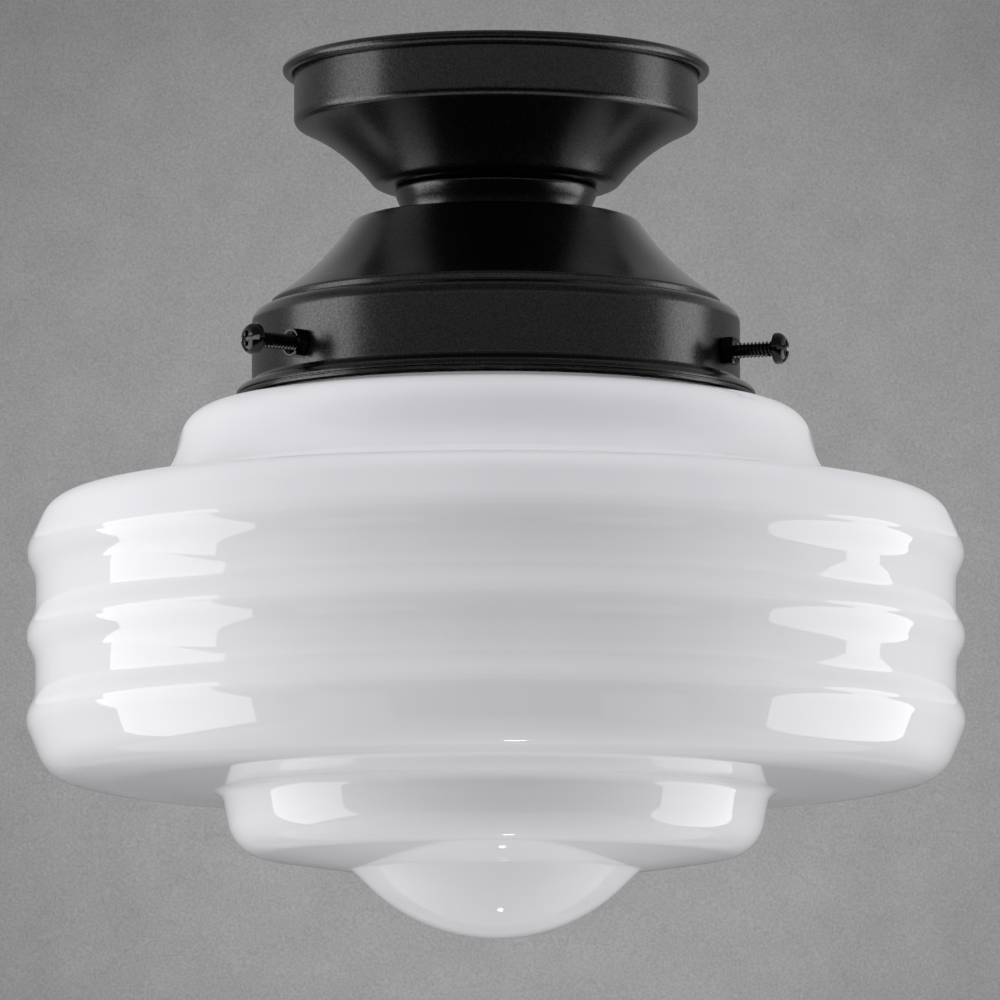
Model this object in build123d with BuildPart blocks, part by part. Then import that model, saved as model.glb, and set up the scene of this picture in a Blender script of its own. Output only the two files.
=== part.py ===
from build123d import *
from math import cos, radians, sin, tan
import os

os.makedirs("parts", exist_ok=True)

# Sizes in millimetres. Z is up, the ceiling is Z = 0 and the light hangs below it.

# Clearances
hole_gap = 0.3
face_gap = 0.05
thread_gap = 0.05
seat_gap = 0.3

# Batten lampholder
base_r = 36.0
base_thick = 9.0
base_edge = 2.0
cable_r = 8.0
fixing_spacing = 51.0
fixing_r = 2.5
barrel_r = 20.0
barrel_length = 63.0
barrel_edge = 1.0
ear_reach = 32.0
ear_width = 14.0
ear_thick = 4.0
body_screw_spacing = 52.0
body_screw_r = 1.75
body_screw_head_r = 3.4
body_screw_head = 2.2
body_screw_bite = 6.0
socket_depth = 38.0
carrier_thick = 7.0
carrier_r = 17.3
terminal_circle = 12.4
terminal_side = 5.4
terminal_height = 8.0
wire_r = 1.4
terminal_screw_r = 1.2
terminal_head_r = 2.1
terminal_head = 1.6
shell_wall = 0.5
shell_length = 28.0
contact_r = 4.6
contact_thick = 0.8
contact_drop = 3.6
rivet_r = 1.6

# Lamp
cap_r = 13.1
cap_wall = 0.4
cap_length = 24.5
cap_cone = 3.0
cap_top_r = 9.6
cap_round = 1.5
button_r = 4.6
button_thick = 1.2
collar_thick = 1.8
lamp_neck_r = 15.0
lamp_neck = 3.0
lamp_neck_round = 6.0
plug_round = 0.6
lamp_body_length = 40.0
lamp_wall = 1.6
globe_r = 30.0
globe_open = 20.0
globe_wall = 1.5
plate_thick = 1.6
chip_count = 8
chip_side = 2.8
chip_thick = 0.7

# Canopy
metal = 1.2
bead_r = 1.95
bead_overlap = 0.2
canopy_r = 65.1
canopy_wall = 19.7
canopy_edge = 2.8
canopy_turn_r = 49.8
canopy_turn_depth = 26.7
canopy_foot_r = 38.7
canopy_foot_round = 5.0
canopy_depth = 40.3
canopy_sweep = 0.82

# Neck and the bush that clamps the metalwork together
neck_height = 10.6
collar_top_r = 33.4
collar_foot_r = 30.3
collar_straight = 3.2
collar_round = 1.6
collar_sweep = 0.6
bush_gap = 0.6
bush_wall = 2.4
bush_flange = 5.5
bush_flange_thick = 2.0
ring_nut_flats = 54.0
ring_nut_thick = 4.0
bush_stand = 0.6
washer_thick = 1.0
washer_width = 7.0
shade_ring_wall = 8.0
shade_ring_height = 8.0
grip_count = 12
grip_r = 3.0
grip_depth = 1.2

# Gallery
lip_room = 1.0
crown_r = 45.5
crown_round = 3.5
flare_turn_r = 56.7
flare_turn_drop = 15.4
flare_drop = 26.5
flare_sweep = 0.68
foot_round = 1.2
foot_step = 2.6
ledge_round = 0.8
ledge_flat = 0.8
band_round = 4.5
band_height = 23.9
rim_flare = 5.0
rim_fall = 2.2
rim_sweep = 0.8
rim_round = 2.6
rim_lip = 3.4

# Clamp screws
screw_count = 3
screw_angle = 98.0
screw_drop = 17.0
screw_r = 2.45
screw_length = 25.0
head_r = 5.0
head_height = 3.6
head_round = 3.2
slot_width = 1.5
slot_depth = 1.7
tip_r = 2.2
tip_length = 3.0
nut_flats = 8.4
nut_thick = 3.6
nut_gap = 0.3

# Glass shade
glass = 3.2
lip_r = 76.2
lip_width = 5.7
lip_round = 1.5
glass_neck = 13.2
neck_round = 4.0
shoulder_fall = 6.7
tier1_r = 99.9
tier1_round = 12.0
tier1_height = 23.8
tier1_draft = 5.4
tier1_foot_round = 17.0
drum_top_fall = 3.9
groove_r = 147.45
drum_edge_in = 4.35
drum_edge_round = 12.0
first_rib = 17.3
rib_count = 3
rib_pitch = 26.7
rib_foot = 7.5
rib_rise = 3.65
end_rib_rise = 3.4
rib_round = 8.5
groove_round = 9.0
groove_bow = 0.2
bow_round = 80.0
drum_foot = 17.35
drum_foot_in = 3.85
drum_foot_round = 13.0
bevel_width = 14.6
bevel_fall = 3.7
bevel_round = 75.0
underside_fall = 1.8
tier2_r = 87.5
tier2_draft = 3.6
tier2_height = 19.2
tier2_top_round = 4.0
tier2_foot_round = 13.0
dome_fall = 27.4
dome_round = 58.0
dome_slope = 44.0
dome_cone = 5.8
dome_foot_round = 3.0

# Levels of the lampholder
barrel_top = -base_thick
barrel_mouth = barrel_top - barrel_length
carrier_top = barrel_mouth + socket_depth
carrier_foot = carrier_top - carrier_thick
ledge_z = carrier_foot - shell_wall
contact_z = carrier_foot - contact_drop - contact_thick
shell_bore = cap_r + seat_gap
shell_r = shell_bore + shell_wall
barrel_bore = shell_r + thread_gap

# Levels of the lamp
lamp_z = contact_z - seat_gap
collar_z = lamp_z - button_thick
cap_z = collar_z - collar_thick
cap_foot = cap_z - cap_length
body_foot = cap_foot - lamp_neck - lamp_body_length
globe_rim_r = globe_r * cos(radians(globe_open))
globe_z = body_foot - face_gap - globe_r * sin(radians(globe_open))

# Levels of the metalwork
canopy_foot = -canopy_depth
crown_z = canopy_foot - neck_height
bush_bore = barrel_r + bush_gap
bush_r = bush_bore + bush_wall
bush_hole = bush_r + hole_gap
flange_z = crown_z - metal
flange_foot = flange_z - bush_flange_thick
ring_nut_z = canopy_foot + metal
washer_z = flange_foot - face_gap
ring_z = washer_z - washer_thick - face_gap
ring_bore = barrel_r + thread_gap

# Radii and levels of the gallery
band_r = lip_r + lip_room + metal
flare_foot_r = band_r - band_round - ledge_flat - ledge_round
flare_foot = crown_z - flare_drop
ledge = flare_foot - foot_step
band_foot = ledge - band_height
rim_z = band_foot - rim_fall
rim_r = band_r + rim_flare

# Clamp screws
screw_z = ledge - screw_drop
neck_r = lip_r - lip_width
tip_end = neck_r + seat_gap
shank_end = tip_end + tip_length
head_seat = tip_end + screw_length
nut_seat = band_r + nut_gap
screw_angles = [screw_angle + i * 360 / screw_count for i in range(screw_count)]

# Levels and radii of the glass
lip_z = screw_z + screw_r + seat_gap
neck_z = lip_z - glass_neck
tier1_z = neck_z - shoulder_fall
tier1_foot_r = tier1_r + tier1_draft
tier1_foot = tier1_z - tier1_height
drum_edge_r = groove_r - drum_edge_in
drum_edge = tier1_foot - drum_top_fall
rib_levels = [drum_edge - first_rib - i * rib_pitch for i in range(rib_count)]
drum_foot_r = groove_r - drum_foot_in
drum_foot_z = rib_levels[-1] - drum_foot
bevel_r = drum_foot_r - bevel_width
bevel_z = drum_foot_z - bevel_fall
tier2_z = bevel_z - underside_fall
tier2_foot_r = tier2_r - tier2_draft
tier2_foot = tier2_z - tier2_height
dome_z = tier2_foot - dome_fall
dome_centre = dome_z + dome_round
dome_edge_r = dome_round * sin(radians(dome_slope))
dome_edge = dome_centre - dome_round * cos(radians(dome_slope))
dome_base_r = dome_edge_r + dome_cone
dome_base = dome_edge + dome_cone * tan(radians(dome_slope))


def sweep_radius(before, corner, after, share):
    # radius of the arc that takes this share of the shorter leg at a corner
    leg_in = Vector(*before) - Vector(*corner)
    leg_out = Vector(*after) - Vector(*corner)
    half = radians(leg_in.get_angle(leg_out)) / 2
    return share * min(leg_in.length, leg_out.length) * tan(half)


def radial_plane(angle, distance, level):
    # plane that faces outwards at this angle round the light, its local Y upwards
    outward = Vector(1, 0, 0).rotate(Axis.Z, angle)
    return Plane(
        outward * distance + Vector(0, 0, level),
        x_dir=outward.rotate(Axis.Z, 90),
        z_dir=outward,
    )


# Base that is screwed to the ceiling
with BuildPart() as base:
    with BuildSketch():
        Circle(base_r)
        Circle(cable_r, mode=Mode.SUBTRACT)
        with GridLocations(fixing_spacing, 0, 2, 1):
            Circle(fixing_r, mode=Mode.SUBTRACT)
    extrude(amount=-base_thick)
    with BuildSketch(Plane.XY.offset(-base_thick)):
        with GridLocations(0, body_screw_spacing, 1, 2):
            Circle(body_screw_r + thread_gap)
    extrude(amount=body_screw_bite + 1, mode=Mode.SUBTRACT)
    chamfer(base.edges().group_by(Axis.Z)[0].sort_by(SortBy.RADIUS)[-1], base_edge)
base.part.label = "holder_base"
export_step(base.part, "parts/holder_base.step")

# Body with ears at the top and the barrel that goes through the metalwork
with BuildPart() as body:
    with BuildSketch(Plane.XY.offset(barrel_top)):
        Circle(barrel_r)
    extrude(amount=-barrel_length)
    with BuildSketch(Plane.XY.offset(barrel_top)):
        SlotOverall(2 * ear_reach, ear_width, rotation=90)
    extrude(amount=-ear_thick)
    with BuildSketch(Plane.XY.offset(barrel_top)):
        Circle(carrier_r + face_gap)
        with GridLocations(0, body_screw_spacing, 1, 2):
            Circle(body_screw_r + hole_gap)
    extrude(amount=ledge_z - barrel_top, mode=Mode.SUBTRACT)
    with BuildSketch(Plane.XY.offset(barrel_top)):
        Circle(barrel_bore)
    extrude(amount=-barrel_length, mode=Mode.SUBTRACT)
    chamfer(body.edges().group_by(Axis.Z)[0].sort_by(SortBy.RADIUS)[-1], barrel_edge)
body.part.label = "holder_body"
export_step(body.part, "parts/holder_body.step")

# The two screws that hold the body to the base, as one group
with BuildPart() as body_screws:
    with BuildSketch(Plane.XY.offset(barrel_top - ear_thick)):
        with GridLocations(0, body_screw_spacing, 1, 2):
            Circle(body_screw_head_r)
    extrude(amount=-body_screw_head)
    with BuildSketch(Plane.XY.offset(barrel_top - ear_thick)):
        with GridLocations(0, body_screw_spacing, 1, 2):
            Circle(body_screw_r)
    extrude(amount=ear_thick + body_screw_bite)
    with BuildSketch(Plane.XY.offset(barrel_top - ear_thick - body_screw_head)):
        with GridLocations(0, body_screw_spacing, 1, 2):
            Rectangle(3 * body_screw_head_r, 1)
    extrude(amount=body_screw_head / 2, mode=Mode.SUBTRACT)
body_screws.part.label = "body_screws"
export_step(body_screws.part, "parts/body_screws.step")

# Carrier for the terminals and contacts, resting on the shell flange
with BuildPart() as carrier:
    with BuildSketch(Plane.XY.offset(carrier_top)):
        Circle(carrier_r)
        Circle(rivet_r + face_gap, mode=Mode.SUBTRACT)
    extrude(amount=-carrier_thick)
carrier.part.label = "contact_insulator"
export_step(carrier.part, "parts/contact_insulator.step")

# Terminals on the carrier, each with a hole for the wire and a screw on top
for i, name in enumerate(("line_terminal", "neutral_terminal", "loop_terminal")):
    with BuildPart() as terminal:
        with BuildSketch(Plane.XY.offset(carrier_top)):
            with PolarLocations(terminal_circle, 1, start_angle=90 + i * 120):
                Rectangle(terminal_side, terminal_side)
        extrude(amount=terminal_height)
        with BuildSketch(Plane.XY.offset(carrier_top + terminal_height)):
            with PolarLocations(terminal_circle, 1, start_angle=90 + i * 120):
                Circle(terminal_screw_r + thread_gap)
        extrude(amount=-terminal_height / 2, mode=Mode.SUBTRACT)
        wire_level = carrier_top + terminal_height / 2
        with BuildSketch(radial_plane(90 + i * 120, 0, wire_level)):
            Circle(wire_r)
        extrude(amount=2 * terminal_circle, mode=Mode.SUBTRACT)
    terminal.part.label = name
    export_step(terminal.part, f"parts/{name}.step")

with BuildPart() as terminal_screws:
    with BuildSketch(Plane.XY.offset(carrier_top + terminal_height)):
        with PolarLocations(terminal_circle, 3, start_angle=90):
            Circle(terminal_head_r)
    extrude(amount=terminal_head)
    with BuildSketch(Plane.XY.offset(carrier_top + terminal_height)):
        with PolarLocations(terminal_circle, 3, start_angle=90):
            Circle(terminal_screw_r)
    extrude(amount=-terminal_height / 2 + wire_r + face_gap)
    with BuildSketch(Plane.XY.offset(carrier_top + terminal_height + terminal_head)):
        with PolarLocations(terminal_circle, 3, start_angle=90):
            Rectangle(3 * terminal_head_r, 0.7)
    extrude(amount=-terminal_head / 2, mode=Mode.SUBTRACT)
terminal_screws.part.label = "terminal_screws"
export_step(terminal_screws.part, "parts/terminal_screws.step")

# Threaded shell contact, hung by its flange between the ledge and the carrier
with BuildPart() as shell:
    with BuildSketch(Plane.XZ):
        with BuildLine():
            Polyline((carrier_r - face_gap, ledge_z), (shell_r, ledge_z), (shell_r, ledge_z - shell_length))
            offset(amount=shell_wall, side=Side.RIGHT)
        make_face()
    revolve(axis=Axis.Z)
shell.part.label = "shell_contact"
export_step(shell.part, "parts/shell_contact.step")

# Centre contact: a rivet through the carrier and a bowed leaf under it
with BuildPart() as contact:
    with BuildSketch(Plane.XY.offset(carrier_top)):
        Circle(rivet_r)
    extrude(amount=-carrier_thick)
    with BuildSketch(Plane.XY.offset(carrier_foot)):
        Circle(contact_r)
    extrude(amount=-contact_thick)
    with BuildSketch(Plane.XZ):
        with BuildLine():
            ThreePointArc(
                (-contact_r + contact_thick, carrier_foot - contact_thick / 2),
                (0, contact_z + contact_thick),
                (contact_r - contact_thick, carrier_foot - contact_thick / 2),
            )
            offset(amount=contact_thick, side=Side.RIGHT)
        make_face()
    extrude(amount=contact_r / 2, both=True)
contact.part.label = "centre_contact"
export_step(contact.part, "parts/centre_contact.step")

# Lamp, from the contact down to the globe
with BuildPart() as button:
    with BuildSketch(Plane.XZ):
        with BuildLine():
            FilletPolyline(
                (0, lamp_z), (button_r * 0.8, lamp_z), (button_r, collar_z), radius=[button_thick * 0.4]
            )
            Polyline((button_r, collar_z), (0, collar_z), (0, lamp_z))
        make_face()
    revolve(axis=Axis.Z)
button.part.label = "lamp_contact"
export_step(button.part, "parts/lamp_contact.step")

with BuildPart() as glass_collar:
    with BuildSketch(Plane.XZ):
        with BuildLine():
            Polyline(
                (0, collar_z),
                (button_r + 0.8, collar_z),
                (cap_top_r - cap_wall, cap_z),
                (cap_top_r - cap_wall, cap_z - cap_cone),
                (0, cap_z - cap_cone),
                close=True,
            )
        make_face()
    revolve(axis=Axis.Z)
glass_collar.part.label = "lamp_insulator"
export_step(glass_collar.part, "parts/lamp_insulator.step")

with BuildPart() as cap:
    with BuildSketch(Plane.XZ):
        with BuildLine():
            FilletPolyline(
                (cap_top_r, cap_z), (cap_r, cap_z - cap_cone), (cap_r, cap_foot), radius=[cap_round]
            )
            offset(amount=cap_wall, side=Side.RIGHT)
        make_face()
    revolve(axis=Axis.Z)
cap.part.label = "lamp_cap"
export_step(cap.part, "parts/lamp_cap.step")

with BuildPart() as lamp_body:
    with BuildSketch(Plane.XZ):
        plug_r = cap_r - cap_wall - face_gap
        with BuildLine():
            FilletPolyline(
                (plug_r, cap_foot + cap_length / 2),
                (plug_r, cap_foot - face_gap),
                (lamp_neck_r, cap_foot - lamp_neck),
                (globe_rim_r, body_foot),
                radius=[plug_round, lamp_neck_round],
            )
            offset(amount=lamp_wall, side=Side.RIGHT)
        make_face()
    revolve(axis=Axis.Z)
lamp_body.part.label = "lamp_body"
export_step(lamp_body.part, "parts/lamp_body.step")

with BuildPart() as led_plate:
    plate_z = body_foot + plate_thick + chip_thick
    plate_r = globe_rim_r - 2 * lamp_wall
    with BuildSketch(Plane.XY.offset(plate_z)):
        Circle(plate_r)
    extrude(amount=-plate_thick)
    with BuildSketch(Plane.XY.offset(plate_z - plate_thick)):
        with PolarLocations(plate_r * 0.7, chip_count):
            Rectangle(chip_side, chip_side)
    extrude(amount=-chip_thick)
led_plate.part.label = "led_plate"
export_step(led_plate.part, "parts/led_plate.step")

with BuildPart() as globe:
    with BuildSketch(Plane.XZ):
        with BuildLine():
            CenterArc((0, globe_z), globe_r, globe_open, -90 - globe_open)
            offset(amount=globe_wall, side=Side.RIGHT)
        make_face()
    revolve(axis=Axis.Z)
globe.part.label = "lamp_globe"
export_step(globe.part, "parts/lamp_globe.step")

# Canopy: beaded rim, upright wall and a flare down to a flat bottom
with BuildPart() as canopy:
    canopy_outline = [
        (canopy_r, -bead_r),
        (canopy_r, -canopy_wall),
        (canopy_turn_r, -canopy_turn_depth),
        (canopy_foot_r, canopy_foot),
        (bush_hole, canopy_foot),
    ]
    sweep = sweep_radius(*canopy_outline[1:4], canopy_sweep)
    with BuildSketch(Plane.XZ):
        with BuildLine():
            FilletPolyline(*canopy_outline, radius=[canopy_edge, sweep, canopy_foot_round])
            offset(amount=metal, side=Side.RIGHT)
        make_face()
        with Locations((canopy_r + bead_r - bead_overlap, -bead_r)):
            Circle(bead_r)
    revolve(axis=Axis.Z)
canopy.part.label = "canopy"
export_step(canopy.part, "parts/canopy.step")

# Collar between canopy and gallery, a spun cup with its floor at the top
with BuildPart() as collar:
    collar_outline = [
        (bush_hole, canopy_foot),
        (collar_top_r, canopy_foot),
        (collar_foot_r, crown_z + collar_straight),
        (collar_foot_r, crown_z),
    ]
    sweep = sweep_radius(*collar_outline[1:4], collar_sweep)
    with BuildSketch(Plane.XZ):
        with BuildLine():
            FilletPolyline(*collar_outline, radius=[collar_round, sweep])
            offset(amount=metal, side=Side.RIGHT)
        make_face()
    revolve(axis=Axis.Z)
collar.part.label = "neck_collar"
export_step(collar.part, "parts/neck_collar.step")

# Gallery: crown, flare, ledge, band and flared rim, with a hole for each screw
with BuildPart() as gallery:
    gallery_outline = [
        (bush_hole, crown_z),
        (crown_r, crown_z),
        (flare_turn_r, crown_z - flare_turn_drop),
        (flare_foot_r, flare_foot),
        (flare_foot_r, ledge),
        (band_r, ledge),
        (band_r, band_foot),
        (rim_r, rim_z),
        (rim_r, rim_z - rim_lip),
    ]
    sweep = sweep_radius(*gallery_outline[1:4], flare_sweep)
    gallery_rounds = [crown_round, sweep, foot_round, ledge_round, band_round, rim_sweep, rim_round]
    with BuildSketch(Plane.XZ):
        with BuildLine():
            FilletPolyline(*gallery_outline, radius=gallery_rounds)
            offset(amount=metal, side=Side.RIGHT)
        make_face()
    revolve(axis=Axis.Z)
    for angle in screw_angles:
        with BuildSketch(radial_plane(angle, flare_foot_r, screw_z)):
            Circle(screw_r + hole_gap)
        extrude(amount=rim_r - flare_foot_r, mode=Mode.SUBTRACT)
gallery.part.label = "gallery"
export_step(gallery.part, "parts/gallery.step")

# Bush and ring nut that clamp canopy, collar and gallery into one piece
with BuildPart() as bush:
    with BuildSketch(Plane.XY.offset(flange_foot)):
        Circle(bush_r + bush_flange)
    extrude(amount=bush_flange_thick)
    with BuildSketch(Plane.XY.offset(flange_foot)):
        Circle(bush_r)
    extrude(amount=ring_nut_z + ring_nut_thick + bush_stand - flange_foot)
    with BuildSketch(Plane.XY.offset(flange_foot)):
        Circle(bush_bore)
    extrude(amount=ring_nut_z + ring_nut_thick + bush_stand - flange_foot, mode=Mode.SUBTRACT)
bush.part.label = "clamp_bush"
export_step(bush.part, "parts/clamp_bush.step")

with BuildPart() as ring_nut:
    with BuildSketch(Plane.XY.offset(ring_nut_z)):
        RegularPolygon(ring_nut_flats / 2, 6, major_radius=False)
        Circle(bush_r + thread_gap, mode=Mode.SUBTRACT)
    extrude(amount=ring_nut_thick)
ring_nut.part.label = "clamp_ring_nut"
export_step(ring_nut.part, "parts/clamp_ring_nut.step")

# Washer and the shade ring that turns on the barrel and carries the metalwork
with BuildPart() as washer:
    with BuildSketch(Plane.XY.offset(washer_z)):
        Circle(barrel_r + bush_gap + washer_width)
        Circle(barrel_r + bush_gap, mode=Mode.SUBTRACT)
    extrude(amount=-washer_thick)
washer.part.label = "friction_washer"
export_step(washer.part, "parts/friction_washer.step")

with BuildPart() as shade_ring:
    with BuildSketch(Plane.XY.offset(ring_z)):
        Circle(barrel_r + shade_ring_wall)
        Circle(ring_bore, mode=Mode.SUBTRACT)
        with PolarLocations(barrel_r + shade_ring_wall + grip_r - grip_depth, grip_count):
            Circle(grip_r, mode=Mode.SUBTRACT)
    extrude(amount=-shade_ring_height)
shade_ring.part.label = "shade_ring"
export_step(shade_ring.part, "parts/shade_ring.step")

# Hex nuts on the outside of the band, as one group
with BuildPart() as nuts:
    for angle in screw_angles:
        with BuildSketch(radial_plane(angle, nut_seat, screw_z)):
            RegularPolygon(nut_flats / 2, 6, major_radius=False)
            Circle(screw_r + thread_gap, mode=Mode.SUBTRACT)
        extrude(amount=nut_thick)
nuts.part.label = "gallery_nuts"
export_step(nuts.part, "parts/gallery_nuts.step")

# Clamp screws and their soft tips
for i, angle in enumerate(screw_angles, 1):
    with BuildPart() as screw:
        with BuildSketch(radial_plane(angle, shank_end, screw_z)):
            Circle(screw_r)
        extrude(amount=head_seat - shank_end)
        with BuildSketch(radial_plane(angle, head_seat, screw_z)):
            Circle(head_r)
        extrude(amount=head_height)
        rims = screw.edges().filter_by(GeomType.CIRCLE).filter_by(lambda edge: edge.radius > screw_r)
        fillet(rims.sort_by_distance((0, 0, screw_z))[-1], head_round)
        with BuildSketch(radial_plane(angle, head_seat + head_height, screw_z)):
            Rectangle(3 * head_r, slot_width)
        extrude(amount=-slot_depth, mode=Mode.SUBTRACT)
    screw.part.label = f"clamp_screw_{i}"
    export_step(screw.part, f"parts/clamp_screw_{i}.step")

    with BuildPart() as tip:
        with BuildSketch(radial_plane(angle, tip_end, screw_z)):
            Circle(tip_r)
        extrude(amount=tip_length)
    tip.part.label = f"screw_tip_{i}"
    export_step(tip.part, f"parts/screw_tip_{i}.step")

# Glass shade: lip, neck, first tier, ribbed drum, second tier and dome
with BuildPart() as shade:
    rib_points = []
    rib_rounds = []
    for i, level in enumerate(rib_levels):
        at_end = i in (0, rib_count - 1)
        if i > 0:
            rib_points += [(groove_r - groove_bow, level + rib_pitch / 2), (groove_r, level + rib_foot)]
            rib_rounds += [bow_round, groove_round]
        rib_points.append((groove_r + (end_rib_rise if at_end else rib_rise), level))
        rib_rounds.append(rib_round)
        if i < rib_count - 1:
            rib_points.append((groove_r, level - rib_foot))
            rib_rounds.append(groove_round)
    upper_points = [
        (lip_r, lip_z),
        (neck_r, lip_z),
        (neck_r, neck_z),
        (tier1_r, tier1_z),
        (tier1_foot_r, tier1_foot),
        (drum_edge_r, drum_edge),
    ]
    upper_rounds = [lip_round, neck_round, tier1_round, tier1_foot_round, drum_edge_round]
    lower_points = [
        (drum_foot_r, drum_foot_z),
        (bevel_r, bevel_z),
        (tier2_r, tier2_z),
        (tier2_foot_r, tier2_foot),
        (dome_base_r, dome_base),
        (dome_edge_r, dome_edge),
    ]
    lower_rounds = [drum_foot_round, bevel_round, tier2_top_round, tier2_foot_round, dome_foot_round]
    outline = upper_points + rib_points + lower_points
    rounds = upper_rounds + rib_rounds + lower_rounds
    with BuildSketch(Plane.XZ):
        with BuildLine():
            CenterArc((0, dome_centre), dome_round, -90, dome_slope)
            FilletPolyline(*reversed(outline), radius=rounds[::-1])
            offset(amount=glass, side=Side.LEFT, min_edge_length=0.01)
        make_face()
    revolve(axis=Axis.Z)
shade.part.label = "glass_shade"
export_step(shade.part, "parts/glass_shade.step")
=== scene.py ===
from math import ceil, degrees, pi, radians, tan

import bpy
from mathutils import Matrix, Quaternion, Vector


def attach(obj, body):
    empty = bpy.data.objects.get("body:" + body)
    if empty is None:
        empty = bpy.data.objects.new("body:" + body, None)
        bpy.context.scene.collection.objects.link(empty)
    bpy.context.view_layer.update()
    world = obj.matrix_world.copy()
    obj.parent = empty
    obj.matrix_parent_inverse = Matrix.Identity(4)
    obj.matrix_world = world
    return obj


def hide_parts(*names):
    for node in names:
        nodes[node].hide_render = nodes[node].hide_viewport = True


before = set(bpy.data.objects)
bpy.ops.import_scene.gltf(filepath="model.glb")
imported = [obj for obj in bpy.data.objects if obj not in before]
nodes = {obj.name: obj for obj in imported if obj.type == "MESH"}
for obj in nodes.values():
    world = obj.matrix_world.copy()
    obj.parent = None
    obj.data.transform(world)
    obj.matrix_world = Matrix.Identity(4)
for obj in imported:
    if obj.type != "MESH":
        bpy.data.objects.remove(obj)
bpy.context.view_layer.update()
mm = 0.001
screwAngles = (98, 218, 338)
screwLevel = -97.0
mergeGap = 1e-6
noiseLow, noiseHigh = 0.3, 0.7


def startLine(name):
    # one loose point at the origin, left in edit mode
    bpy.ops.object.select_all(action="DESELECT")
    bpy.ops.mesh.primitive_plane_add(size=0.01)
    bpy.context.object.name = name
    bpy.ops.object.mode_set(mode="EDIT")
    bpy.ops.mesh.select_all(action="SELECT")
    bpy.ops.mesh.merge(type="CENTER")
    return bpy.context.object


def extrudeTo(here, there):
    if (there - here).length > 1e-7:
        bpy.ops.mesh.extrude_region_move(TRANSFORM_OT_translate={"value": there - here})
    return there


def swingEnd(centre, axis, turn, radius, widest=9, longest=1.3 * mm):
    # turns the end point by the right-hand rule; spin itself counts the other way
    steps = max(2, ceil(degrees(turn) / widest), ceil(turn * radius / longest))
    bpy.ops.mesh.spin(steps=steps, angle=-turn, center=centre, axis=axis)


def drawOutline(corners, hold=0.5 * mm):
    # straight runs are extruded with a holding point near each end, round corners are short spins
    points = [Vector((corner[0], 0, corner[1])) * mm for corner in corners]
    bpy.ops.transform.translate(value=points[0])
    here = points[0]
    for i in range(1, len(points)):
        along = (points[i] - points[i - 1]).normalized()
        there, turn = points[i], 0
        if len(corners[i]) == 3:
            onward = (points[i + 1] - points[i]).normalized()
            turn = along.angle(onward)
            radius = corners[i][2] * mm
            there = points[i] - along * radius * tan(turn / 2)
        if (there - here).length > 5 * hold:
            here = extrudeTo(here, here + along * hold)
            here = extrudeTo(here, there - along * hold)
        here = extrudeTo(here, there)
        if turn:
            axis = along.cross(onward).normalized()
            swingEnd(here + axis.cross(along) * radius, axis, turn, radius)
            here = points[i] + onward * radius * tan(turn / 2)


def spinRound(steps=160):
    bpy.ops.mesh.select_all(action="SELECT")
    bpy.ops.mesh.spin(steps=steps, angle=2 * pi, center=(0, 0, 0), axis=(0, 0, 1))
    bpy.ops.mesh.select_all(action="SELECT")
    bpy.ops.mesh.remove_doubles(threshold=mergeGap)
    bpy.ops.mesh.normals_make_consistent(inside=False)
    bpy.ops.object.mode_set(mode="OBJECT")


def makeActive(piece):
    bpy.ops.object.select_all(action="DESELECT")
    piece.select_set(True)
    bpy.context.view_layer.objects.active = piece


def applyModifier(piece, kind, **settings):
    makeActive(piece)
    modifier = piece.modifiers.new(kind.title(), kind)
    for name, value in settings.items():
        setattr(modifier, name, value)
    bpy.ops.object.modifier_apply(modifier=modifier.name)


def cutWith(piece, tool, operation="DIFFERENCE"):
    applyModifier(piece, "BOOLEAN", object=tool, operation=operation, solver="EXACT")
    bpy.data.objects.remove(tool)


def softenEdges(piece, edge):
    applyModifier(
        piece, "BEVEL", width=edge * mm, segments=2, limit_method="ANGLE", angle_limit=radians(50)
    )


def giveWall(piece, wall, edge):
    # the wall goes inwards, and its cut edges are softened
    applyModifier(piece, "SOLIDIFY", thickness=wall * mm, offset=-1, use_even_offset=True)
    softenEdges(piece, edge)


def smooth(piece, angle=38):
    makeActive(piece)
    bpy.ops.object.shade_smooth_by_angle(angle=radians(angle))


def joinPieces(pieces, name):
    bpy.ops.object.select_all(action="DESELECT")
    for piece in pieces:
        piece.select_set(True)
    bpy.context.view_layer.objects.active = pieces[0]
    bpy.ops.object.join()
    pieces[0].name = name
    return pieces[0]


def turnedCopy(piece, name, angle):
    makeActive(piece)
    bpy.ops.object.duplicate()
    copy = bpy.context.object
    copy.name = name
    copy.rotation_euler.z = radians(angle)
    bpy.ops.object.transform_apply(location=True, rotation=True, scale=True)
    return copy


def layOutward(piece, distance):
    # a piece made upright along Z is laid along +X, at its distance from the axis
    makeActive(piece)
    piece.rotation_euler = (0, radians(90), 0)
    piece.location = (distance * mm, 0, screwLevel * mm)
    bpy.ops.object.transform_apply(location=True, rotation=True, scale=True)


def runBetween(tree, noise, values, socket):
    node = tree.nodes.new("ShaderNodeMapRange")
    node.inputs["From Min"].default_value = noiseLow
    node.inputs["From Max"].default_value = noiseHigh
    node.inputs["To Min"].default_value = values[0]
    node.inputs["To Max"].default_value = values[1]
    tree.links.new(noise.outputs["Fac"], node.inputs["Value"])
    tree.links.new(node.outputs["Result"], socket)


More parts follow.
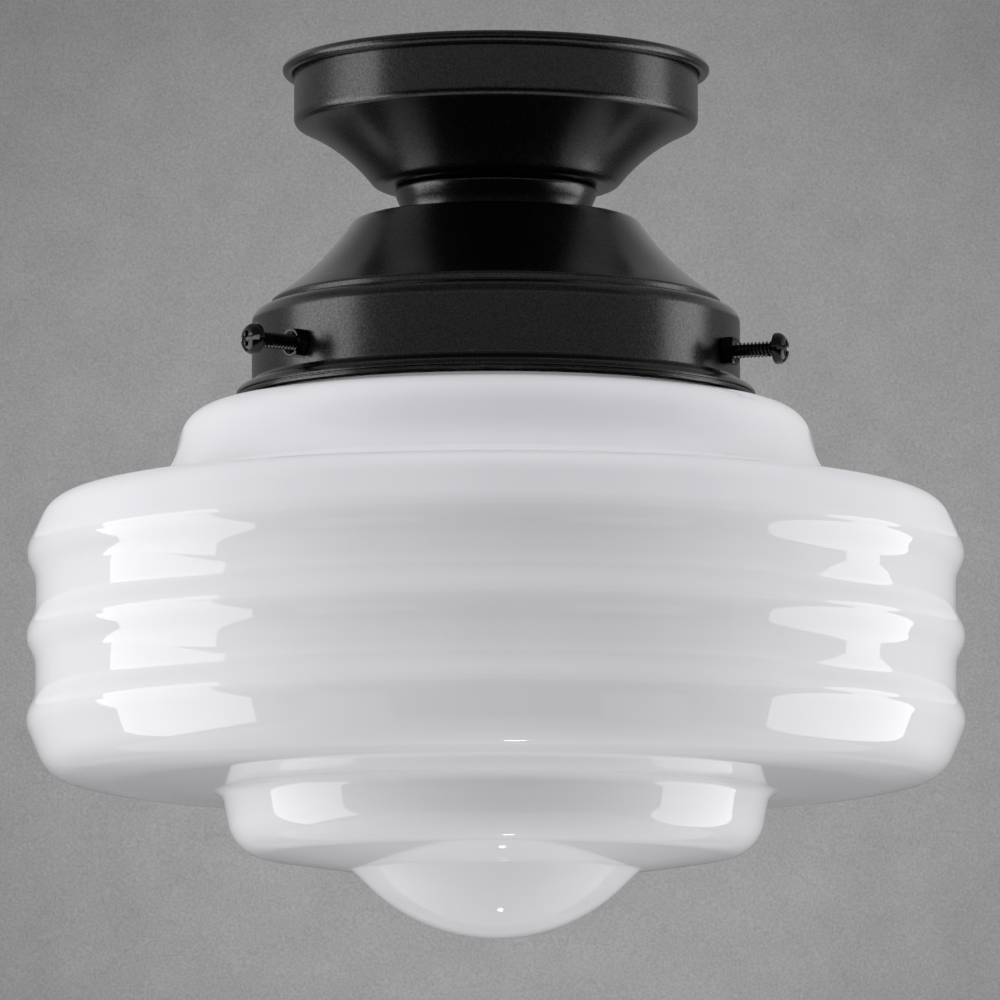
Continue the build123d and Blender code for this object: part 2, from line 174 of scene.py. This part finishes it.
# Materials: each look is a dictionary, with two tones and two roughnesses that a noise runs between
def makeMaterial(look):
    material = bpy.data.materials.new(look["name"])
    material.use_nodes = True
    tree = material.node_tree
    shader = tree.nodes["Principled BSDF"]
    shader.inputs["Metallic"].default_value = look.get("metallic", 0)
    shader.inputs["IOR"].default_value = 1.5
    place = tree.nodes.new("ShaderNodeTexCoord")
    cloud = tree.nodes.new("ShaderNodeTexNoise")
    cloud.inputs["Scale"].default_value = look["cloudScale"]
    cloud.inputs["Detail"].default_value = 5
    tree.links.new(place.outputs["Object"], cloud.inputs["Vector"])
    tones = tree.nodes.new("ShaderNodeValToRGB")
    tones.color_ramp.elements[0].position = noiseLow
    tones.color_ramp.elements[1].position = noiseHigh
    tones.color_ramp.elements[0].color = (*look["dark"], 1)
    tones.color_ramp.elements[1].color = (*look["light"], 1)
    tree.links.new(cloud.outputs["Fac"], tones.inputs["Fac"])
    tree.links.new(tones.outputs["Color"], shader.inputs["Base Color"])
    grain = tree.nodes.new("ShaderNodeTexNoise")
    grain.inputs["Scale"].default_value = look["grainScale"]
    grain.inputs["Detail"].default_value = 3
    tree.links.new(place.outputs["Object"], grain.inputs["Vector"])
    runBetween(tree, grain, look["roughness"], shader.inputs["Roughness"])
    if "speckle" in look:
        runBetween(tree, grain, look["speckle"], shader.inputs["Specular IOR Level"])
    bump = tree.nodes.new("ShaderNodeBump")
    bump.inputs["Strength"].default_value = look.get("bump", 0.1)
    bump.inputs["Distance"].default_value = look.get("bumpDepth", 0.02) * mm
    tree.links.new(grain.outputs["Fac"], bump.inputs["Height"])
    tree.links.new(bump.outputs["Normal"], shader.inputs["Normal"])
    return material


blackMetal = makeMaterial({
    "name": "satinBlack", "dark": (0.0005, 0.0005, 0.0005), "light": (0.0011, 0.0011, 0.0011),
    "roughness": (0.22, 0.28), "cloudScale": 45, "grainScale": 1700, "bump": 0.12, "bumpDepth": 0.01,
    "speckle": (0.38, 1),
})
blackHardware = makeMaterial({
    "name": "blackenedSteel", "dark": (0.002, 0.002, 0.002), "light": (0.004, 0.004, 0.0042),
    "roughness": (0.09, 0.15), "cloudScale": 300, "grainScale": 4000, "bump": 0.1, "bumpDepth": 0.01,
    "speckle": (0.3, 0.42),
})
opalGlass = makeMaterial({
    "name": "opalGlass", "dark": (0.79, 0.79, 0.81), "light": (0.83, 0.83, 0.85),
    "roughness": (0.015, 0.03), "cloudScale": 18, "grainScale": 60, "bump": 0.05, "bumpDepth": 0.3,
})
tipRubber = makeMaterial({
    "name": "tipRubber", "dark": (0.02, 0.02, 0.02), "light": (0.035, 0.035, 0.033),
    "roughness": (0.55, 0.7), "cloudScale": 400, "grainScale": 3000, "bump": 0.2,
})
platedSteel = makeMaterial({
    "name": "platedSteel", "dark": (0.5, 0.5, 0.48), "light": (0.62, 0.62, 0.6), "metallic": 1,
    "roughness": (0.25, 0.4), "cloudScale": 150, "grainScale": 2500, "bump": 0.1,
})
whiteMoulding = makeMaterial({
    "name": "whiteMoulding", "dark": (0.68, 0.67, 0.63), "light": (0.74, 0.73, 0.7),
    "roughness": (0.3, 0.42), "cloudScale": 60, "grainScale": 1800, "bump": 0.1,
})
ringMoulding = makeMaterial({
    "name": "ringMoulding", "dark": (0.62, 0.61, 0.57), "light": (0.7, 0.69, 0.65),
    "roughness": (0.32, 0.46), "cloudScale": 80, "grainScale": 1600, "bump": 0.12,
})
brass = makeMaterial({
    "name": "brass", "dark": (0.6, 0.42, 0.16), "light": (0.72, 0.53, 0.24), "metallic": 1,
    "roughness": (0.22, 0.4), "cloudScale": 200, "grainScale": 2600, "bump": 0.1,
})
washerFibre = makeMaterial({
    "name": "washerFibre", "dark": (0.2, 0.05, 0.035), "light": (0.3, 0.09, 0.06),
    "roughness": (0.6, 0.8), "cloudScale": 250, "grainScale": 1500, "bump": 0.3,
})
capMetal = makeMaterial({
    "name": "capMetal", "dark": (0.62, 0.62, 0.6), "light": (0.74, 0.74, 0.72), "metallic": 1,
    "roughness": (0.2, 0.34), "cloudScale": 160, "grainScale": 2400, "bump": 0.1,
})
blackVitrite = makeMaterial({
    "name": "blackVitrite", "dark": (0.008, 0.008, 0.009), "light": (0.016, 0.016, 0.018),
    "roughness": (0.08, 0.16), "cloudScale": 300, "grainScale": 900, "bump": 0.06,
})
lampPlastic = makeMaterial({
    "name": "lampPlastic", "dark": (0.74, 0.74, 0.73), "light": (0.8, 0.8, 0.79),
    "roughness": (0.35, 0.48), "cloudScale": 70, "grainScale": 1700, "bump": 0.1,
})
plateAluminium = makeMaterial({
    "name": "plateAluminium", "dark": (0.7, 0.7, 0.71), "light": (0.8, 0.8, 0.81), "metallic": 1,
    "roughness": (0.3, 0.5), "cloudScale": 220, "grainScale": 2200, "bump": 0.12,
})
lampDiffuser = makeMaterial({
    "name": "lampDiffuser", "dark": (0.8, 0.8, 0.79), "light": (0.85, 0.85, 0.84),
    "roughness": (0.4, 0.55), "cloudScale": 50, "grainScale": 1200, "bump": 0.08,
})


def finishPiece(piece, material, body, slot, *stoodFor):
    piece.data.materials.clear()
    piece.data.materials.append(material)
    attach(piece, body)
    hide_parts(*stoodFor)


# Canopy: wall and flare in one line, with a beaded rim round the top
canopyValues = {
    "wall": 1.2, "edge": 0.25, "beadCentre": (66.85, -1.95), "beadRadius": 1.95,
    "line": [
        (65.1, -1.0), (65.1, -19.7, 2.8), (49.8, -26.7, 61), (38.7, -40.3, 5), (23.3, -40.3),
    ],
}
canopy = startLine("canopyShell")
drawOutline(canopyValues["line"])
spinRound()
giveWall(canopy, canopyValues["wall"], canopyValues["edge"])
bead = startLine("canopyBead")
beadCentre = Vector((canopyValues["beadCentre"][0], 0, canopyValues["beadCentre"][1])) * mm
beadRadius = canopyValues["beadRadius"] * mm
bpy.ops.transform.translate(value=beadCentre + Vector((beadRadius, 0, 0)))
swingEnd(beadCentre, (0, 1, 0), 2 * pi, beadRadius)
spinRound()
canopy = joinPieces([canopy, bead], "canopyShell")
smooth(canopy)
finishPiece(canopy, blackMetal, "fitting", "black_metal", "canopy")
print("canopy modelled")

# Collar between canopy and gallery
collarValues = {
    "wall": 1.2, "edge": 0.25,
    "line": [(23.3, -40.3), (33.4, -40.3, 1.6), (30.3, -47.7, 9.5), (30.3, -50.9)],
}
collar = startLine("neckCollar")
drawOutline(collarValues["line"])
spinRound()
giveWall(collar, collarValues["wall"], collarValues["edge"])
smooth(collar)
finishPiece(collar, blackMetal, "fitting", "black_metal", "neck_collar")
print("collar modelled")

# Gallery: crown, flare, ledge, band and a rim with a fine groove above its lip
galleryValues = {
    "wall": 1.2, "edge": 0.12, "holeRadius": 2.75, "holeDepth": 14, "bandRadius": 78.4,
    "line": [
        (23.3, -50.9), (45.5, -50.9, 3.5), (56.7, -66.3, 79), (72.3, -77.4, 1.2),
        (72.3, -80.0, 0.8), (78.4, -80.0, 4.5), (78.4, -103.9, 0.8), (83.4, -106.1, 2.6),
        (83.4, -107.95), (82.85, -108.1), (82.85, -108.35), (83.4, -108.5), (83.4, -109.5),
    ],
}
gallery = startLine("galleryShell")
drawOutline(galleryValues["line"])
spinRound()
giveWall(gallery, galleryValues["wall"], galleryValues["edge"])
for angle in screwAngles:
    bpy.ops.mesh.primitive_cylinder_add(
        vertices=40, radius=galleryValues["holeRadius"] * mm, depth=galleryValues["holeDepth"] * mm,
        location=(galleryValues["bandRadius"] * mm, 0, screwLevel * mm), rotation=(0, radians(90), 0),
    )
    bpy.ops.object.transform_apply(location=True, rotation=True, scale=True)
    drill = bpy.context.object
    drill.rotation_euler.z = radians(angle)
    cutWith(gallery, drill)
smooth(gallery)
finishPiece(gallery, blackMetal, "fitting", "black_metal", "gallery")
print("gallery modelled")

# Hex nut with a turned chamfer, made once and copied round the band
nutValues = {
    "flats": 8.4, "thick": 3.6, "seat": 78.7, "bore": 2.65, "sink": 1.1, "chamfer": 0.6,
    "chamferDrop": 0.54, "spare": 0.3, "below": -1, "above": 9,
}
nutThick = nutValues["thick"]
nutCorner = nutValues["flats"] / 3 ** 0.5
bpy.ops.mesh.primitive_cylinder_add(
    vertices=6, radius=nutCorner * mm, depth=nutThick * mm, location=(0, 0, nutThick / 2 * mm)
)
nut = bpy.context.object
bpy.ops.object.transform_apply(location=True, rotation=True, scale=True)
turning = startLine("nutTurning")
drawOutline([
    (0, 0),
    (nutCorner + nutValues["spare"], 0),
    (nutCorner + nutValues["spare"], nutThick - nutValues["chamferDrop"]),
    (nutCorner - nutValues["chamfer"], nutThick),
    (0, nutThick),
])
spinRound(64)
cutWith(nut, turning, "INTERSECT")
borer = startLine("nutBorer")
sinkRadius = nutValues["bore"] + nutValues["sink"]
drawOutline([
    (0, nutValues["below"]),
    (nutValues["bore"], nutValues["below"]),
    (nutValues["bore"], nutThick - nutValues["sink"]),
    (sinkRadius, nutThick),
    (sinkRadius, nutValues["above"]),
    (0, nutValues["above"]),
])
spinRound(48)
cutWith(nut, borer)
layOutward(nut, nutValues["seat"])
smooth(nut, 25)
nutCopies = [turnedCopy(nut, f"bandNut{i}", angle) for i, angle in enumerate(screwAngles, 1)]
bpy.data.objects.remove(nut)
nuts = joinPieces(nutCopies, "bandNuts")
finishPiece(nuts, blackHardware, "fitting", "black_hardware", "gallery_nuts")
print("nuts modelled")

# Clamp screw: rolled thread, round head with a slot and short cross arms, made once and copied
screwValues = {
    "seat": 95.8, "length": 22.0, "crest": 2.5, "root": 1.85, "pitch": 1.27, "turns": 20,
    "threadRise": 0.2, "threadFlank": 0.35, "threadCrest": 0.17, "headRadius": 5.05, "headHeight": 3.6,
    "headFoot": 0.2, "headRound": 2.9, "headDrop": 0.25, "headBite": 0.4, "slotWidth": 1.5,
    "slotDepth": 1.7, "crossReach": 2.5, "edge": 0.1,
}
screw = startLine("clampScrew")
threadFoot = -screwValues["length"] - screwValues["pitch"]
crestStart = threadFoot + screwValues["threadRise"] + screwValues["threadFlank"]
crestEnd = crestStart + screwValues["threadCrest"]
drawOutline([
    (screwValues["root"], threadFoot),
    (screwValues["root"], threadFoot + screwValues["threadRise"]),
    (screwValues["crest"], crestStart),
    (screwValues["crest"], crestEnd),
    (screwValues["root"], crestEnd + screwValues["threadFlank"]),
    (screwValues["root"], threadFoot + screwValues["pitch"]),
])
bpy.ops.object.mode_set(mode="OBJECT")
applyModifier(
    screw, "SCREW", axis="Z", angle=2 * pi, screw_offset=screwValues["pitch"] * mm,
    iterations=screwValues["turns"], steps=28, render_steps=28, use_merge_vertices=True,
    merge_threshold=mergeGap,
)
bpy.ops.object.mode_set(mode="EDIT")
bpy.ops.mesh.select_all(action="SELECT")
bpy.ops.mesh.remove_doubles(threshold=2 * mergeGap)
for level, side in ((-screwValues["length"], "clear_inner"), (screwValues["headBite"], "clear_outer")):
    bpy.ops.mesh.select_all(action="SELECT")
    bpy.ops.mesh.bisect(
        plane_co=(0, 0, level * mm), plane_no=(0, 0, 1), use_fill=True, **{side: True}
    )
bpy.ops.mesh.select_all(action="SELECT")
bpy.ops.mesh.normals_make_consistent(inside=False)
bpy.ops.object.mode_set(mode="OBJECT")
smooth(screw, 30)
head = startLine("screwHead")
headSide = screwValues["headHeight"] - screwValues["headDrop"]
drawOutline([
    (0, 0),
    (screwValues["headRadius"], 0, screwValues["headFoot"]),
    (screwValues["headRadius"], headSide, screwValues["headRound"]),
    (0, screwValues["headHeight"]),
])
spinRound(64)
slotSizes = (
    (screwValues["slotWidth"], 4 * screwValues["headRadius"]),
    (2 * screwValues["crossReach"], screwValues["slotWidth"]),
)
for wide, deep in slotSizes:
    bpy.ops.mesh.primitive_cube_add(
        size=1, location=(0, 0, screwValues["headHeight"] * mm),
        scale=(wide * mm, deep * mm, 2 * screwValues["slotDepth"] * mm),
    )
    cutWith(head, bpy.context.object)
softenEdges(head, screwValues["edge"])
smooth(head, 35)
screw = joinPieces([screw, head], "clampScrew")
layOutward(screw, screwValues["seat"])
for i, angle in enumerate(screwAngles, 1):
    copy = turnedCopy(screw, f"clampScrew{i}", angle)
    finishPiece(copy, blackHardware, f"screw_{i}", "black_hardware", f"clamp_screw_{i}")
bpy.data.objects.remove(screw)
print("screws modelled")

# Glass shade: lip, neck, first tier, ribbed drum, second tier and dome
glassValues = {
    "wall": 3.2, "edge": 0.8, "domeRadius": 58, "domeCentre": -224.0, "domeSlope": 44,
    "line": [
        (76.2, -94.25), (70.5, -94.25, 1.5), (70.5, -107.45, 4), (99.9, -114.15, 12),
        (105.3, -137.95, 17), (143.1, -141.85, 12), (150.85, -159.15, 8.5), (147.45, -166.65, 9),
        (147.25, -172.5, 80), (147.45, -178.35, 9), (151.1, -185.85, 8.5), (147.45, -193.35, 9),
        (147.25, -199.2, 80), (147.45, -205.05, 9), (150.85, -212.55, 8.5), (143.6, -229.9, 13),
        (129.0, -233.6, 75), (87.5, -235.4, 4), (83.9, -254.6, 13), (46.09, -260.12, 3),
        (40.29, -265.72),
    ],
}
shade = startLine("glassShade")
drawOutline(glassValues["line"])
domeCentre = (0, 0, glassValues["domeCentre"] * mm)
swingEnd(domeCentre, (0, 1, 0), radians(glassValues["domeSlope"]), glassValues["domeRadius"] * mm)
spinRound(180)
giveWall(shade, glassValues["wall"], glassValues["edge"])
smooth(shade, 60)
finishPiece(shade, opalGlass, "fitting", "opal_glass", "glass_shade")
print("glass modelled")

# CAD pieces that stay as they are take their own finishes
nodeFinish = {
    "holder_base": whiteMoulding, "holder_body": whiteMoulding, "contact_insulator": whiteMoulding,
    "shade_ring": ringMoulding, "friction_washer": washerFibre, "body_screws": platedSteel,
    "terminal_screws": platedSteel, "line_terminal": brass, "neutral_terminal": brass,
    "loop_terminal": brass, "shell_contact": brass, "centre_contact": brass,
    "clamp_bush": platedSteel, "clamp_ring_nut": platedSteel, "screw_tip_1": tipRubber,
    "screw_tip_2": tipRubber, "screw_tip_3": tipRubber, "lamp_cap": capMetal,
    "lamp_contact": capMetal, "lamp_insulator": blackVitrite, "lamp_body": lampPlastic,
    "led_plate": plateAluminium, "lamp_globe": lampDiffuser,
}
for name, material in nodeFinish.items():
    nodes[name].data.materials.clear()
    nodes[name].data.materials.append(material)
print("finishes given")

# Floor, far below the light
floorValues = {"size": 5, "level": -2.4}
bpy.ops.mesh.primitive_plane_add(size=floorValues["size"], location=(0, 0, floorValues["level"]))
floor = bpy.context.object
floor.name = "studioFloor"
floor.data.materials.append(makeMaterial({
    "name": "paleFloor", "dark": (0.5, 0.5, 0.5), "light": (0.56, 0.56, 0.56),
    "roughness": (0.7, 0.85), "cloudScale": 3, "grainScale": 120, "bump": 0.05,
}))


# Lights: panels at both sides that face the light squarely, and a small glint from below
def softbox(name, place, aim, size, brightness, shape="RECTANGLE", roll=0):
    # brightness is what the panel looks like in a mirror
    bpy.ops.object.light_add(type="AREA", location=place)
    lamp = bpy.context.object
    lamp.name = name
    lamp.data.shape = shape
    lamp.data.size, lamp.data.size_y = size
    lamp.data.energy = brightness * pi * size[0] * size[1]
    facing = (Vector(aim) - Vector(place)).to_track_quat("-Z", "Y")
    lamp.rotation_euler = (facing @ Quaternion((0, 0, 1), radians(roll))).to_euler()
    lamp.visible_camera = False


def sidePanel(name, side, back, height, **values):
    softbox(name, (side, back, height), (0, back, height), **values)


sideDistance = 1.5
sidePanel("leftBox", -sideDistance, -0.085, -0.695, size=(1.09, 1.2), brightness=2.75, roll=7)
sidePanel("leftStrip", -sideDistance, -0.07, 0.096, size=(1.06, 0.39), brightness=2.35, roll=14)
sidePanel("rightBox", sideDistance, 0.235, -0.81, size=(1.45, 1.385), brightness=2, shape="ELLIPSE")
sidePanel("rightNeck", sideDistance, 0.24, -0.095, size=(0.36, 0.1), brightness=2.4)
sidePanel("rightStrip", sideDistance, 0.235, 0.12, size=(0.8, 0.36), brightness=1.7, shape="ELLIPSE")
softbox(
    "underGlint", (0.04, 0.62, -1.5), (0, -0.05, -0.23), size=(0.05, 0.1), brightness=9, shape="ELLIPSE"
)
print("lights placed")

# World: a grainy grey backdrop for the eye, a soft fill for matt faces and a studio room for reflections
worldValues = {
    "viewCentre": (0.003, 0.9936, 0.113), "reach": 0.1, "heights": (0.057, 0.169),
    "vignette": ((0, 1), (0.45, 0.985), (0.563, 0.95), (0.657, 0.896), (0.796, 0.781), (1, 0.66)),
    "upright": ((0, 0.354), (0.5, 0.318), (1, 0.282)),
    "mottle": (160, 0.9, 1.1), "speck": (3500, 0.72, 1.28),
    "frontFill": 0.32, "fill": 0.45, "skyFill": 0.87, "lowFill": 0.2,
    "frontRoom": ((0, 0.01), (0.48, 0.02), (0.562, 0.06), (0.58, 0.62), (0.62, 0.62), (0.65, 0.12)),
    "sideRoom": ((0, 0.2), (0.589, 0.2), (0.594, 0.52), (0.72, 0.52), (0.8, 0.27)),
    "lowBack": 0.36, "lowSide": 0.05, "lowWidth": (0.22, 0.34), "lowEdge": (-0.4, -0.25),
    "frontEdge": (-0.25, -0.15), "lowReach": -0.35, "tint": (0.997, 0.99, 1.01),
}
world = bpy.data.worlds.new("studio")
bpy.context.scene.world = world
world.use_nodes = True
tree = world.node_tree
tree.nodes.clear()


def plug(source, socket):
    if isinstance(source, float):
        socket.default_value = source
    else:
        tree.links.new(source, socket)


def spread(source, low, high, toLow=0, toHigh=1):
    node = tree.nodes.new("ShaderNodeMapRange")
    node.inputs["From Min"].default_value = low
    node.inputs["From Max"].default_value = high
    node.inputs["To Min"].default_value = toLow
    node.inputs["To Max"].default_value = toHigh
    plug(source, node.inputs["Value"])
    return node.outputs["Result"]


def ramp(source, stops):
    node = tree.nodes.new("ShaderNodeValToRGB")
    for i, (place, tone) in enumerate(stops):
        stop = node.color_ramp.elements[i] if i < 2 else node.color_ramp.elements.new(place)
        stop.position = place
        stop.color = (tone, tone, tone, 1)
    plug(source, node.inputs["Fac"])
    return node.outputs["Color"]


def reckon(operation, first, second):
    node = tree.nodes.new("ShaderNodeMath")
    node.operation = operation
    plug(first, node.inputs[0])
    plug(second, node.inputs[1])
    return node.outputs["Value"]


def blend(share, first, second):
    node = tree.nodes.new("ShaderNodeMix")
    plug(share, node.inputs["Factor"])
    plug(first, node.inputs["A"])
    plug(second, node.inputs["B"])
    return node.outputs["Result"]


def mottle(scale, low, high):
    node = tree.nodes.new("ShaderNodeTexNoise")
    node.inputs["Scale"].default_value = scale
    node.inputs["Detail"].default_value = 2
    plug(way.outputs["Generated"], node.inputs["Vector"])
    return spread(node.outputs["Fac"], 0, 1, low, high)


def glow(strength):
    node = tree.nodes.new("ShaderNodeBackground")
    node.inputs["Color"].default_value = (*worldValues["tint"], 1)
    plug(strength, node.inputs["Strength"])
    return node.outputs["Background"]


way = tree.nodes.new("ShaderNodeTexCoord")
axes = tree.nodes.new("ShaderNodeSeparateXYZ")
plug(way.outputs["Generated"], axes.inputs["Vector"])
apart = tree.nodes.new("ShaderNodeVectorMath")
apart.operation = "DISTANCE"
apart.inputs[1].default_value = worldValues["viewCentre"]
plug(way.outputs["Generated"], apart.inputs[0])
vignette = ramp(spread(apart.outputs["Value"], 0, worldValues["reach"]), worldValues["vignette"])
upright = ramp(spread(axes.outputs["Z"], *worldValues["heights"]), worldValues["upright"])
plain = reckon("MULTIPLY", vignette, upright)
grainy = reckon("MULTIPLY", mottle(*worldValues["mottle"]), mottle(*worldValues["speck"]))
frontRoom = ramp(spread(axes.outputs["Z"], -1, 1), worldValues["frontRoom"])
aside = reckon("ABSOLUTE", axes.outputs["X"], 0.0)
lowRoom = blend(spread(aside, *worldValues["lowWidth"]), worldValues["lowBack"], worldValues["lowSide"])
sideRoom = ramp(spread(axes.outputs["Z"], -1, 1), worldValues["sideRoom"])
rearRoom = blend(spread(axes.outputs["Z"], *worldValues["lowEdge"]), lowRoom, sideRoom)
room = blend(spread(axes.outputs["Y"], *worldValues["frontEdge"]), frontRoom, rearRoom)
sky = spread(axes.outputs["Z"], 0, 1, 0, worldValues["skyFill"])
low = spread(axes.outputs["Z"], 0, worldValues["lowReach"], 0, worldValues["lowFill"])
around = spread(axes.outputs["Y"], -1, 0, worldValues["frontFill"], worldValues["fill"])
rays = tree.nodes.new("ShaderNodeLightPath")
bySheen = tree.nodes.new("ShaderNodeMixShader")
plug(rays.outputs["Is Glossy Ray"], bySheen.inputs["Fac"])
plug(glow(reckon("MULTIPLY", plain, grainy)), bySheen.inputs[1])
plug(glow(room), bySheen.inputs[2])
byFill = tree.nodes.new("ShaderNodeMixShader")
plug(rays.outputs["Is Diffuse Ray"], byFill.inputs["Fac"])
plug(bySheen.outputs["Shader"], byFill.inputs[1])
plug(glow(reckon("ADD", around, reckon("ADD", sky, low))), byFill.inputs[2])
output = tree.nodes.new("ShaderNodeOutputWorld")
plug(byFill.outputs["Shader"], output.inputs["Surface"])
print("world set")

# Camera at the photo's angle
cameraValues = {"place": (1.3, -2661, -443.9), "tilt": 96.489, "lens": 300.7, "sensor": 36, "far": 50}
bpy.ops.object.camera_add(
    location=Vector(cameraValues["place"]) * mm, rotation=(radians(cameraValues["tilt"]), 0, 0)
)
camera = bpy.context.object
camera.data.lens = cameraValues["lens"]
camera.data.sensor_width = cameraValues["sensor"]
camera.data.clip_end = cameraValues["far"]
bpy.context.scene.camera = camera
bpy.context.scene.view_settings.view_transform = "Standard"

print("done")
